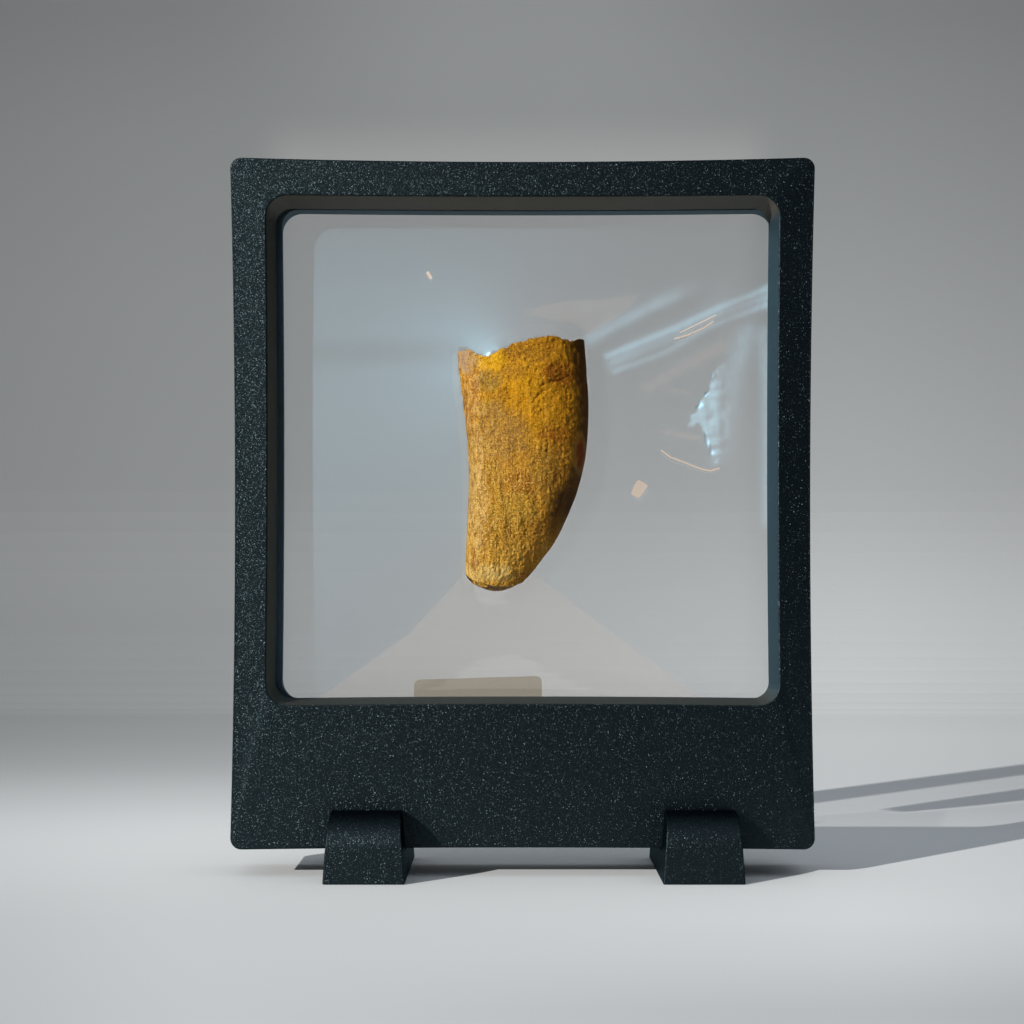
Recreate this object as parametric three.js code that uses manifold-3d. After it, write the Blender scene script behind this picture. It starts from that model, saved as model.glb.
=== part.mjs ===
// A fossil theropod tooth held between two clear films, in a black display frame that stands in two feet.
// Millimetres, +Z up. The origin is on the table under the middle of the frame, and the front faces -Y.
import * as THREE from "three";
import { mergeVertices } from "three/addons/utils/BufferGeometryUtils.js";
import Module from "manifold-3d";

const wasm = await Module();
wasm.setup();

// Driving dimensions of the frame's two halves
const frameWidth = 130;
const frameHeight = 153.8;
const frameBottom = 6.1;
const halfDepth = 10;
const frameCorner = 2.6;
const frameBow = { side: 1.1, top: 1.0, bottom: 0.5 };
const frameEdge = 0.5;
const seamGap = 0.15;
const seamEdge = 0.3;

// The opening in each half, as wide as this at the face and narrower at the middle
const openingWidth = 113.9;
const openingBottom = 38.2;
const openingTop = 151.4;
const openingCorner = 4.8;
const openingDraft = 1;
const openingBow = 0.4;
const openingEdge = 0.4;
const backOpeningShift = 1.2;

// Pins that hold the halves together at the corners
const pinRadius = 1.5;
const pinLength = 4;
const pinInset = { side: 4.1, top: 4.1, bottom: 12.1 };
const pinClearance = 0.2;
const pinSides = 14;

// The two films
const filmThickness = 0.3;
const filmBorder = 3;
const filmFlat = 1.7;
const filmSeat = 0.5;
const filmClearance = 0.35;
const filmPlay = 0.3;
const filmRelaxSteps = 400;
// The stretch over the tooth, where the film's mesh lines lie closer together, and their number there
const toothSpan = { left: -17, right: 18, bottom: 60, top: 124 };
const toothCells = { across: 9, along: 12 };
const rimCell = 2.2;

// The feet
const footCentres = { left_foot: -34.5, right_foot: 39.3 };
const footWidth = 17.9;
const footTaper = 1.1;
const footDepth = 40;
const footHeight = 15;
const footShoulder = 9;
const footArmTop = 0.9;
const footRound = { across: 5.5, down: 2 };
const footEdge = 0.35;
const slotClearance = 0.25;

// The label on the back of the lower border
const labelLeft = -25.2;
const labelRight = 4.6;
const labelBottom = 31;
const labelTop = { left: 42.9, right: 43.8 };
const labelCorner = 1.5;
const labelThickness = 0.25;

// The tooth: height of its tip above the table, and its outline as seen from the front.
// Each row is a height above the tip, the left edge, the right edge and half the thickness there.
const tipHeight = 62.9;
const toothRows = [
  [0, -10.9, -2.2, 2.9],
  [2.2, -12.2, -0.4, 3.5],
  [4.4, -12.85, 1.85, 4.0],
  [10.9, -12.75, 6.85, 5.3],
  [15.4, -12.55, 9.35, 5.9],
  [21.4, -12.25, 11.95, 6.6],
  [25.4, -12.1, 13.2, 6.9],
  [30.4, -12.25, 14.35, 7.2],
  [37.4, -12.8, 15.05, 7.4],
  [44.4, -13.65, 15.1, 7.5],
  [51.4, -14.4, 14.6, 7.4],
  [57.4, -14.65, 14.1, 7.1],
];
// The broken root end: a share of the way across, and the height above the tip
const rootEnd = [
  [0, 55.4],
  [0.07, 55.2],
  [0.15, 53.7],
  [0.22, 53.6],
  [0.29, 54.2],
  [0.37, 54.9],
  [0.46, 56.1],
  [0.55, 56.6],
  [0.65, 57.5],
  [0.71, 57.8],
  [0.8, 57.6],
  [0.88, 57.2],
  [0.94, 57.5],
  [1, 57.7],
];
const rootTop = 58.3;
const rootCrumbs = { height: 0.7, size: 0.055 };
// The broken tip: its slant from front to back, and a curve that is lowest at a share of the way across
const tipSlant = 0.36;
const tipCurve = { base: 1.1, rise: 5.7, lowestAt: 0.6, fade: -0.6 };
const tipHollow = 0.5;
const rootHollow = 1.6;
// The tooth's section, changing between two heights: the share of the way across where it is thickest,
// and the powers with which it rises from the left edge and rolls over to the right one
const section = { low: 6, high: 34, peak: [0.34, 0.5], rise: [0.32, 0.38], roll: [0.9, 0.8] };
const backFlatness = 0.86;
const lump = { height: 0.5, size: 3.6 };
const pit = { depth: 0.45, size: 2.6 };
const ridge = { height: 0.16, pitch: 3.3 };
const notch = { depth: 0.2, from: 9, to: 34 };
const stepsRound = 36;
const stepsAlong = 52;
const capSteps = 3;

const finish = {
  tooth: { color: 0xa9772a, roughness: 0.62, metalness: 0 },
  frame: { color: 0x20282c, roughness: 0.5, metalness: 0 },
  film: { color: 0xdfe6ea, roughness: 0.05, metalness: 0, transparent: true, opacity: 0.2 },
  label: { color: 0xb9aa8c, roughness: 0.85, metalness: 0 },
};

const mix = (a, b, share) => a + (b - a) * share;
const clamp = THREE.MathUtils.clamp;

// A value between rows of a list, smoothly, for a place given in the row's first column
function between(rows, place, column) {
  const last = rows.length - 1;
  const next = rows.findIndex((row) => row[0] >= place);
  if (next === 0) return rows[0][column];
  if (next < 0) return rows[last][column];
  const row = (i) => rows[clamp(i, 0, last)];
  const slope = (i) => (row(i + 1)[column] - row(i - 1)[column]) / (row(i + 1)[0] - row(i - 1)[0]);
  const [a, b] = [row(next - 1), row(next)];
  const span = b[0] - a[0];
  const s = (place - a[0]) / span;
  const hermite =
    (2 * s ** 3 - 3 * s ** 2 + 1) * a[column] + (s ** 3 - 2 * s ** 2 + s) * span * slope(next - 1);
  return hermite + (3 * s ** 2 - 2 * s ** 3) * b[column] + (s ** 3 - s ** 2) * span * slope(next);
}

// Smooth noise from 0 to 1 over space, always the same
function noise(x, y, z) {
  const cell = [x, y, z].map(Math.floor);
  const part = [x, y, z].map((v, i) => THREE.MathUtils.smoothstep(v - cell[i], 0, 1));
  const corner = (i, j, k) => {
    const s = Math.sin((cell[0] + i) * 127.1 + (cell[1] + j) * 311.7 + (cell[2] + k) * 74.7) * 43758.5;
    return s - Math.floor(s);
  };
  const alongX = (j, k) => mix(corner(0, j, k), corner(1, j, k), part[0]);
  return mix(mix(alongX(0, 0), alongX(1, 0), part[1]), mix(alongX(0, 1), alongX(1, 1), part[1]), part[2]);
}

// A manifold solid from a closed geometry, turned round if its faces point in
function solidOf(geometry) {
  const bare = geometry.clone();
  for (const name of Object.keys(bare.attributes)) {
    if (name !== "position") bare.deleteAttribute(name);
  }
  const merged = mergeVertices(bare, 1e-4);
  const points = merged.attributes.position;
  const triVerts = new Uint32Array(merged.index.array);
  const corner = (i) => new THREE.Vector3().fromBufferAttribute(points, triVerts[i]);
  let volume = 0;
  for (let i = 0; i < triVerts.length; i += 3) {
    volume += corner(i).dot(corner(i + 1).cross(corner(i + 2)));
  }
  if (volume < 0) {
    for (let i = 0; i < triVerts.length; i += 3) {
      [triVerts[i + 1], triVerts[i + 2]] = [triVerts[i + 2], triVerts[i + 1]];
    }
  }
  return new wasm.Manifold(new wasm.Mesh({ numProp: 3, vertProperties: points.array, triVerts }));
}

function geometryOf(solid) {
  const { numProp, vertProperties, triVerts } = solid.getMesh();
  const positions = [];
  for (let i = 0; i < vertProperties.length; i += numProp) {
    positions.push(...vertProperties.subarray(i, i + 3));
  }
  return new THREE.BufferGeometry()
    .setAttribute("position", new THREE.Float32BufferAttribute(positions, 3))
    .setIndex([...triVerts])
    .toNonIndexed();
}

function centreOf(points) {
  return points.reduce((sum, p) => sum.add(p), new THREE.Vector3()).divideScalar(points.length);
}

// A closed geometry through rings of equally many points, each end closed to its middle point
function loft(rings) {
  const size = rings[0].length;
  const points = rings.flat();
  const index = [];
  for (let r = 0; r + 1 < rings.length; r++) {
    for (let i = 0; i < size; i++) {
      const [a, b] = [r * size + i, r * size + ((i + 1) % size)];
      index.push(a, b, a + size, b, b + size, a + size);
    }
  }
  for (const [first, forward] of [[0, false], [(rings.length - 1) * size, true]]) {
    const ring = points.slice(first, first + size);
    const middle = points.push(centreOf(ring)) - 1;
    for (let i = 0; i < size; i++) {
      const [a, b] = [first + i, first + ((i + 1) % size)];
      index.push(...(forward ? [a, b, middle] : [b, a, middle]));
    }
  }
  return new THREE.BufferGeometry().setFromPoints(points).setIndex(index);
}

// Points round a rectangle with round corners whose sides bow inwards, in a plane across Y
function outline({ left, right, bottom, top, corner, bow }, y, inset = 0) {
  const sideSteps = 8;
  const cornerSteps = 4;
  const [l, r, b, t] = [left + inset, right - inset, bottom + inset, top - inset];
  const radius = corner - inset;
  const points = [];
  const arcs = [
    [r - radius, t - radius, 0],
    [l + radius, t - radius, 1],
    [l + radius, b + radius, 2],
    [r - radius, b + radius, 3],
  ];
  arcs.forEach(([x, z, quarter], i) => {
    for (let s = 0; s <= cornerSteps; s++) {
      const angle = (quarter + s / cornerSteps) * (Math.PI / 2);
      points.push([x + radius * Math.cos(angle), z + radius * Math.sin(angle)]);
    }
    const [fromX, fromZ] = points[points.length - 1];
    const [nextX, nextZ, nextQuarter] = arcs[(i + 1) % 4];
    const start = nextQuarter * (Math.PI / 2);
    const [toX, toZ] = [nextX + radius * Math.cos(start), nextZ + radius * Math.sin(start)];
    for (let s = 1; s < sideSteps; s++) {
      points.push([mix(fromX, toX, s / sideSteps), mix(fromZ, toZ, s / sideSteps)]);
    }
  });
  const [midX, midZ, halfX, halfZ] = [(l + r) / 2, (b + t) / 2, (r - l) / 2, (t - b) / 2];
  return points.map(([x, z]) => {
    const [u, v] = [(x - midX) / halfX, (z - midZ) / halfZ];
    const vertical = v > 0 ? bow.top : bow.bottom;
    return new THREE.Vector3(
      x - u * bow.side * (1 - v * v),
      y,
      z - v * vertical * (1 - u * u),
    );
  });
}

const frameOutline = {
  left: -frameWidth / 2,
  right: frameWidth / 2,
  bottom: frameBottom,
  top: frameBottom + frameHeight,
  corner: frameCorner,
  bow: frameBow,
};

function openingOutline(shift) {
  return {
    left: shift - openingWidth / 2,
    right: shift + openingWidth / 2,
    bottom: openingBottom,
    top: openingTop,
    corner: openingCorner,
    bow: { side: openingBow, top: openingBow, bottom: openingBow },
  };
}

function boxAt(size, centre) {
  return new THREE.BoxGeometry(...size).translate(...centre);
}

// A pin, or with a clearance the hole for one, standing along Y
function pinAt(x, z, clearance) {
  const radius = pinRadius + clearance;
  const length = pinLength + 2 * clearance;
  return new THREE.CylinderGeometry(radius, radius, length, pinSides).translate(x, clearance / 2, z);
}

function pinPlaces() {
  const { left, right, bottom, top } = frameOutline;
  return [left + pinInset.side, right - pinInset.side].flatMap((x) => [
    [x, bottom + pinInset.bottom],
    [x, top - pinInset.top],
  ]);
}

// One half of the frame. side is -1 for the front half and 1 for the back half.
function frameHalf(side) {
  const ring = (y, inset) => outline(frameOutline, side * y, inset);
  const body = loft([
    ring(seamGap, seamEdge),
    ring(seamGap + seamEdge, 0),
    ring(halfDepth - frameEdge, 0),
    ring(halfDepth, frameEdge),
  ]);
  const mouth = openingOutline(side > 0 ? backOpeningShift : 0);
  const cut = (y, inset) => outline(mouth, side * y, inset);
  const opening = loft([
    cut(-1, openingDraft),
    cut(filmSeat, openingDraft),
    cut(halfDepth - openingEdge, 0),
    cut(halfDepth, -openingEdge),
    cut(halfDepth + 1, -openingEdge),
  ]);
  const seatDepth = filmSeat - seamGap;
  const seat = boxAt(
    [filmSheet.width + 2 * filmPlay, 2 * seatDepth, filmSheet.height + 2 * filmPlay],
    [0, side * seamGap, filmSheet.middle],
  );
  let half = solidOf(body).subtract(solidOf(opening)).subtract(solidOf(seat));
  for (const [x, z] of pinPlaces()) {
    half = side < 0 ? half.add(solidOf(pinAt(x, z, 0))) : half.subtract(solidOf(pinAt(x, z, pinClearance)));
  }
  return geometryOf(half);
}

// The sheet of film that one half holds, with the border that lies between the halves
const filmSheet = {
  width: openingWidth - 2 * openingDraft + 2 * filmBorder,
  height: openingTop - openingBottom - 2 * openingDraft + 2 * filmBorder,
  middle: (openingTop + openingBottom) / 2,
};

// Half the tooth's thickness at share u of the way across, a lens that is thickest near its middle
function halfThickness(u, h, side) {
  const share = clamp(u, 0, 1);
  const up = THREE.MathUtils.smoothstep(h, section.low, section.high);
  const [peak, rise, roll] = [section.peak, section.rise, section.roll].map((pair) => mix(...pair, up));
  const left = clamp((peak - share) / peak, 0, 1);
  const right = clamp((share - peak) / (1 - peak), 0, 1);
  const lens = (1 - left ** 2) ** rise * (1 - right ** 2) ** roll;
  return between(toothRows, h, 3) * lens * (side < 0 ? 1 : backFlatness);
}

// The tooth's plain surface in front (side -1) or behind (side 1), or 0 beside the tooth
function toothSurface(x, z, side) {
  const h = z - tipHeight;
  const [left, right] = [between(toothRows, h, 1), between(toothRows, h, 2)];
  const u = (x - left) / (right - left);
  if (u <= 0 || u >= 1 || h < 0 || h > between(rootEnd, u, 1) + rootCrumbs.height / 2) return 0;
  return halfThickness(u, h, side);
}

// A point on the tooth: share u across, share t from the root down to the tip
function toothPoint(u, t, side) {
  const slant = side * halfThickness(u, 0, side) * tipSlant;
  const { base, rise, lowestAt, fade } = tipCurve;
  const tip = base - slant + rise * (u - lowestAt) ** 2 * (1 - fade * u);
  const crumbs = noise(u / rootCrumbs.size, side * Math.sqrt(u * (1 - u)) * 4, 5) - 0.5;
  const root = between(rootEnd, u, 1) + crumbs * rootCrumbs.height;
  const h = mix(root, tip, t);
  const [left, right] = [between(toothRows, h, 1), between(toothRows, h, 2)];
  return new THREE.Vector3(mix(left, right, u), side * halfThickness(u, h, side), tipHeight + h);
}

// Lumps of crust, most near the root, with pits, lengthwise ridges and notches along the lower right edge
function roughen(point, u, step) {
  const { x, y, z } = point;
  const height = z - tipHeight;
  const up = clamp(height / rootTop, 0, 1);
  const lumps = noise(x / lump.size, y / lump.size, z / lump.size) - 0.5;
  const pits = Math.max(0, noise(x / pit.size + 31, y / pit.size, z / (1.6 * pit.size)) - 0.6);
  const ridges = Math.sin((2 * Math.PI * (x + 0.12 * height)) / ridge.pitch) * (1 - up);
  const crust = 2 * lump.height * (0.4 + 0.6 * up) * lumps;
  const relief = crust - 2.5 * pit.depth * pits + ridge.height * ridges;
  const across = Math.sin(Math.PI * clamp(u, 0, 1));
  point.y += Math.sign(y) * relief * Math.sqrt(across);
  point.x += (u - 0.5) * 0.5 * relief;
  if (u > 0.999 && height > notch.from && height < notch.to && step % 2) point.x -= notch.depth;
  return point;
}

function toothGeometry() {
  const half = stepsRound / 2;
  const ringAt = (t, step) =>
    Array.from({ length: stepsRound }, (_, i) => {
      const side = i <= half ? -1 : 1;
      const u = (1 - Math.cos((Math.PI * i) / half)) / 2;
      return roughen(toothPoint(u, t, side), u, step);
    });
  const rings = Array.from({ length: stepsAlong + 1 }, (_, step) => ringAt(step / stepsAlong, step));
  const root = capRings(rings[0], -rootHollow);
  const tip = capRings(rings.at(-1), tipHollow).reverse();
  return geometryOf(solidOf(loft([...root, ...rings, ...tip])));
}

// Rings that close an end inwards, with a broken surface hollowed by depth along Z
function capRings(ring, depth) {
  const middle = centreOf(ring);
  return Array.from({ length: capSteps }, (_, i) => {
    const share = (i + 1) / (capSteps + 1);
    return ring.map((p) => {
      const q = middle.clone().lerp(p, share);
      const rough = noise(q.x / 2.6, q.y / 2.6, 7) - 0.5;
      q.z += depth * (1 - share) ** 0.7 + Math.abs(depth) * rough;
      return q;
    });
  });
}

// Where the film's mesh lines run along one direction: close together over the tooth
function filmLines(low, high, toothLow, toothHigh, cells) {
  const run = (a, b, n) => Array.from({ length: n }, (_, i) => mix(a, b, i / n));
  const rim = filmBorder + filmFlat;
  const nearRim = rim + rimCell;
  return [
    low,
    low + rim,
    ...run(low + nearRim, toothLow, 2),
    ...run(toothLow, toothHigh, cells),
    ...run(toothHigh, high - nearRim, 2),
    high - nearRim,
    high - rim,
    high,
  ];
}

// A taut film that starts flat at the opening's rim and is pushed out by the tooth
function filmGeometry(side) {
  const [halfWidth, halfHeight] = [filmSheet.width / 2, filmSheet.height / 2];
  const { middle } = filmSheet;
  const { left, right, bottom, top } = toothSpan;
  const xs = filmLines(-halfWidth, halfWidth, left, right, toothCells.across);
  const zs = filmLines(middle - halfHeight, middle + halfHeight, bottom, top, toothCells.along);
  const cell = { x: (right - left) / toothCells.across, z: (top - bottom) / toothCells.along };
  const rim = filmBorder + filmFlat;
  const free = (x, z) => {
    const beyondX = Math.max(Math.abs(x) - (halfWidth - rim - openingCorner), 0);
    const beyondZ = Math.max(Math.abs(z - middle) - (halfHeight - rim - openingCorner), 0);
    return Math.hypot(beyondX, beyondZ) < openingCorner - 0.01;
  };
  const pushed = (i, j) => {
    const near = [-0.5, 0, 0.5];
    const heights = near.flatMap((a) =>
      near.map((b) => toothSurface(xs[i] + a * cell.x, zs[j] + b * cell.z, side)),
    );
    const most = Math.max(...heights);
    return most > 0 ? most + lump.height + filmClearance : 0;
  };
  const rest = filmSeat - filmThickness;
  const height = xs.map(() => zs.map(() => rest));
  const floor = xs.map((x, i) => zs.map((z, j) => (free(x, z) ? Math.max(rest, pushed(i, j)) : rest)));
  for (let step = 0; step < filmRelaxSteps; step++) {
    for (let i = 1; i + 1 < xs.length; i++) {
      for (let j = 1; j + 1 < zs.length; j++) {
        if (!free(xs[i], zs[j])) continue;
        const [w, e] = [xs[i] - xs[i - 1], xs[i + 1] - xs[i]];
        const [s, n] = [zs[j] - zs[j - 1], zs[j + 1] - zs[j]];
        const weights = [1 / (w * (w + e)), 1 / (e * (w + e)), 1 / (s * (s + n)), 1 / (n * (s + n))];
        const around = [height[i - 1][j], height[i + 1][j], height[i][j - 1], height[i][j + 1]];
        const total = weights.reduce((sum, v) => sum + v, 0);
        const level = around.reduce((sum, v, k) => sum + v * weights[k], 0) / total;
        height[i][j] = Math.max(floor[i][j], level);
      }
    }
  }
  const [columns, rows] = [xs.length - 1, zs.length - 1];
  const sheet = new THREE.BoxGeometry(columns, filmThickness, rows, columns, 1, rows);
  const points = sheet.attributes.position;
  for (let k = 0; k < points.count; k++) {
    const i = Math.round(points.getX(k) + columns / 2);
    const j = Math.round(points.getZ(k) + rows / 2);
    const y = side * (height[i][j] + filmThickness / 2) + points.getY(k);
    points.setXYZ(k, xs[i], y, zs[j]);
  }
  return geometryOf(solidOf(sheet));
}

// A foot: an upright block with a slot for the frame, its arms round at the top, narrower upwards
function footGeometry() {
  const halfY = footDepth / 2;
  const slot = halfDepth + slotClearance;
  const profile = new THREE.Shape();
  const roundY = slot + footRound.across;
  const roundZ = footHeight - footRound.down;
  const armY = slot + footArmTop;
  profile.moveTo(-halfY, 0).lineTo(halfY, 0).lineTo(halfY, footShoulder);
  profile.bezierCurveTo(halfY, roundZ, roundY, footHeight, armY, footHeight);
  profile.lineTo(slot, footHeight).lineTo(slot, frameBottom).lineTo(-slot, frameBottom);
  profile.lineTo(-slot, footHeight).lineTo(-armY, footHeight);
  profile.bezierCurveTo(-roundY, footHeight, -halfY, roundZ, -halfY, footShoulder);
  const depth = footWidth - 2 * footEdge;
  const block = new THREE.ExtrudeGeometry(profile, {
    depth,
    curveSegments: 9,
    bevelThickness: footEdge,
    bevelSize: footEdge,
    bevelOffset: -footEdge,
    bevelSegments: 2,
  });
  block.translate(0, 0, -depth / 2).applyMatrix4(
    new THREE.Matrix4().makeBasis(
      new THREE.Vector3(0, 1, 0),
      new THREE.Vector3(0, 0, 1),
      new THREE.Vector3(1, 0, 0),
    ),
  );
  const points = block.attributes.position;
  for (let k = 0; k < points.count; k++) {
    const share = points.getZ(k) / footHeight;
    points.setX(k, points.getX(k) * (1 - ((2 * footTaper) / footWidth) * share));
  }
  return geometryOf(solidOf(block));
}

function labelGeometry() {
  const [l, r, b, c] = [labelLeft, labelRight, labelBottom, labelCorner];
  const shape = new THREE.Shape();
  shape.moveTo(l + c, b).lineTo(r - c, b).quadraticCurveTo(r, b, r, b + c);
  shape.lineTo(r, labelTop.right - c).quadraticCurveTo(r, labelTop.right, r - c, labelTop.right);
  shape.lineTo(l + c, labelTop.left).quadraticCurveTo(l, labelTop.left, l, labelTop.left - c);
  shape.lineTo(l, b + c).quadraticCurveTo(l, b, l + c, b);
  return new THREE.ExtrudeGeometry(shape, { depth: labelThickness, bevelEnabled: false, curveSegments: 4 })
    .rotateX(Math.PI / 2);
}

function pieceOf(name, geometry, look) {
  const piece = new THREE.Mesh(geometry, new THREE.MeshStandardMaterial(look));
  piece.name = name;
  return piece;
}

const display = new THREE.Group();
display.add(
  pieceOf("tooth", toothGeometry(), finish.tooth),
  pieceOf("front_frame", frameHalf(-1), finish.frame),
  pieceOf("back_frame", frameHalf(1), finish.frame),
  pieceOf("front_film", filmGeometry(-1), finish.film),
  pieceOf("back_film", filmGeometry(1), finish.film),
);
for (const [name, x] of Object.entries(footCentres)) {
  const foot = pieceOf(name, footGeometry(), finish.frame);
  foot.position.x = x;
  display.add(foot);
}
const label = pieceOf("label", labelGeometry(), finish.label);
label.position.y = halfDepth + labelThickness;
display.add(label);

export default display;
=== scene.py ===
import math
import bmesh
import bpy
import numpy as np
from mathutils import Matrix, Vector
from mathutils.bvhtree import BVHTree


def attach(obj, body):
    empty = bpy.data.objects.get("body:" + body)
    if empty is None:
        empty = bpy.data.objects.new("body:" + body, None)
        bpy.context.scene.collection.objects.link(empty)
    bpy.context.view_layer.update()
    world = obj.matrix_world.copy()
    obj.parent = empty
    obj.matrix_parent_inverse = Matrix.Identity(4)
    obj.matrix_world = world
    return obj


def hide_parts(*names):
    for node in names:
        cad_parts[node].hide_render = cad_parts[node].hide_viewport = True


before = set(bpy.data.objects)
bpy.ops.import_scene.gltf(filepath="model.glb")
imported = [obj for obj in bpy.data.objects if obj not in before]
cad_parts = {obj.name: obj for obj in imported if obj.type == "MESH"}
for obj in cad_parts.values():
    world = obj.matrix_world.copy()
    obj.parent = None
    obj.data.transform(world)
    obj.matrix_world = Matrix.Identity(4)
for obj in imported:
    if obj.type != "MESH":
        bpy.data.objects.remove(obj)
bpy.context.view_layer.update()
scene = bpy.context.scene
scene.view_settings.view_transform = "Standard"
mm = 0.001  # shapes are worked out in millimetres and scaled to metres when a piece is finished

# The camera stands level in front of the display, low and a little left of its middle, and looks along +Y;
# eyeLine is the row of the image that is as high as the camera
cameraSettings = {"place": (-2.35, -410, 63.8), "focalPixels": 1803, "imagePixels": 1024, "eyeLine": 590, "sensor": 36}


def makeCamera():
    s = cameraSettings
    data = bpy.data.cameras.new("camera")
    data.sensor_width = s["sensor"]
    data.lens = s["sensor"] * s["focalPixels"] / s["imagePixels"]
    data.shift_y = s["eyeLine"] / s["imagePixels"] - 0.5
    data.clip_start = 0.02
    data.clip_end = 20
    camera = bpy.data.objects.new("camera", data)
    camera.location = Vector(s["place"]) * mm
    camera.rotation_euler = (math.pi / 2, 0, 0)
    scene.collection.objects.link(camera)
    scene.camera = camera


def linear(red, green, blue):
    # a colour as seen on a screen, 0 to 255, turned into light
    def one(value):
        share = value / 255
        return share / 12.92 if share <= 0.04045 else ((share + 0.055) / 1.055) ** 2.4
    return (one(red), one(green), one(blue), 1)


class Wire:  # a node's output that takes part in arithmetic
    def __init__(self, graph, socket):
        self.graph = graph
        self.socket = socket

    def math(self, operation, *values):
        return self.graph.add("ShaderNodeMath", {"operation": operation}, dict(enumerate(values)))

    def __add__(self, other):
        return self.math("ADD", self, other)

    def __radd__(self, other):
        return self.math("ADD", other, self)

    def __sub__(self, other):
        return self.math("SUBTRACT", self, other)

    def __rsub__(self, other):
        return self.math("SUBTRACT", other, self)

    def __mul__(self, other):
        return self.math("MULTIPLY", self, other)

    def __rmul__(self, other):
        return self.math("MULTIPLY", other, self)

    def __gt__(self, other):
        return self.math("GREATER_THAN", self, other)

    def step(self, low, high):
        # 0 below low, 1 above high, smooth between them
        settings = {"interpolation_type": "SMOOTHSTEP"}
        return self.graph.add("ShaderNodeMapRange", settings, {0: self, 1: low, 2: high})


class Graph:  # the nodes of one material, or of the room
    def __init__(self, name, tree=None):
        if not tree:
            self.material = bpy.data.materials.new(name)
            self.material.use_nodes = True
        self.tree = tree or self.material.node_tree
        self.tree.nodes.clear()
        inMetres = self.add("ShaderNodeTexCoord", out="Object")
        self.place = self.add("ShaderNodeVectorMath", {"operation": "SCALE"}, {0: inMetres, 3: 1 / mm})

    def add(self, kind, settings=None, inputs=None, out=0):
        node = self.tree.nodes.new(kind)
        for key, value in (settings or {}).items():
            if key == "stops":
                self.setStops(node.color_ramp, value)
            else:
                setattr(node, key, value)
        for key, value in (inputs or {}).items():
            if isinstance(value, Wire):
                self.tree.links.new(value.socket, node.inputs[key])
            else:
                node.inputs[key].default_value = value
        return Wire(self, node.outputs[out]) if node.outputs else None

    def setStops(self, ramp, stops):
        while len(ramp.elements) < len(stops):
            ramp.elements.new(0.5)
        for element, (position, colour) in zip(ramp.elements, stops):
            element.position = position
            element.color = colour

    def stretched(self, stretch):
        return self.add("ShaderNodeVectorMath", {"operation": "MULTIPLY"}, {0: self.place, 1: stretch})

    def noise(self, stretch, detail=2.0, roughness=0.5, distortion=0.0):
        # stretch is the number of features per millimetre along each axis
        inputs = {"Vector": self.stretched(stretch), "Scale": 1.0, "Detail": detail,
                  "Roughness": roughness, "Distortion": distortion}
        return self.add("ShaderNodeTexNoise", None, inputs)

    def cells(self, stretch, feature="F1", out="Distance"):
        inputs = {"Vector": self.stretched(stretch), "Scale": 1.0}
        return self.add("ShaderNodeTexVoronoi", {"feature": feature}, inputs, out)

    def attribute(self, name):
        return self.add("ShaderNodeAttribute", {"attribute_name": name}, None, "Fac")

    def axis(self, name):
        return self.add("ShaderNodeSeparateXYZ", None, {0: self.place}, name)

    def spot(self, centre, size, ragged):
        # a mask of 1 inside an ellipse seen from the front, with a ragged edge
        flat = self.add("ShaderNodeVectorMath", {"operation": "SUBTRACT"}, {0: self.place, 1: (centre[0], 0, centre[1])})
        scaled = (1 / size[0], 0, 1 / size[1])
        unit = self.add("ShaderNodeVectorMath", {"operation": "MULTIPLY"}, {0: flat, 1: scaled})
        length = self.add("ShaderNodeVectorMath", {"operation": "LENGTH"}, {0: unit}, "Value")
        return 1 - (length + ragged).step(0.55, 1.25)

    def away(self, points):
        # distance in mm to a line through places (x, z), as seen from the front
        nearest = None
        for (ax, az), (bx, bz) in zip(points, points[1:]):
            along = (bx - ax, 0, bz - az)
            start = self.add("ShaderNodeVectorMath", {"operation": "SUBTRACT"}, {0: self.place, 1: (ax, 0, az)})
            share = self.add("ShaderNodeVectorMath", {"operation": "DOT_PRODUCT"}, {0: start, 1: along}, "Value")
            held = self.add("ShaderNodeClamp", None, {0: share * (1 / (along[0] ** 2 + along[2] ** 2))})
            foot = self.add("ShaderNodeVectorMath", {"operation": "SCALE"}, {0: along, 3: held})
            off = self.add("ShaderNodeVectorMath", {"operation": "SUBTRACT"}, {0: start, 1: foot})
            flat = self.add("ShaderNodeVectorMath", {"operation": "MULTIPLY"}, {0: off, 1: (1, 0, 1)})
            length = self.add("ShaderNodeVectorMath", {"operation": "LENGTH"}, {0: flat}, "Value")
            nearest = length if nearest is None else nearest.math("MINIMUM", nearest, length)
        return nearest

    def mix(self, factor, first, second):
        return self.add("ShaderNodeMix", {"data_type": "RGBA"}, {0: factor, 6: first, 7: second}, 2)

    def grazing(self):
        # 0 where the surface is seen square on, rising late to 1 along its rim
        facing = self.add("ShaderNodeLayerWeight", None, {"Blend": 0.5}, "Facing")
        return facing.math("POWER", facing, 5)

    def bump(self, height, strength, distance, normal=None):
        inputs = {"Strength": strength, "Distance": distance * mm, "Height": height}
        if normal:
            inputs["Normal"] = normal
        return self.add("ShaderNodeBump", None, inputs)

    def finish(self, shader):
        self.add("ShaderNodeOutputMaterial", None, {"Surface": shader})
        return self.material


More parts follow.
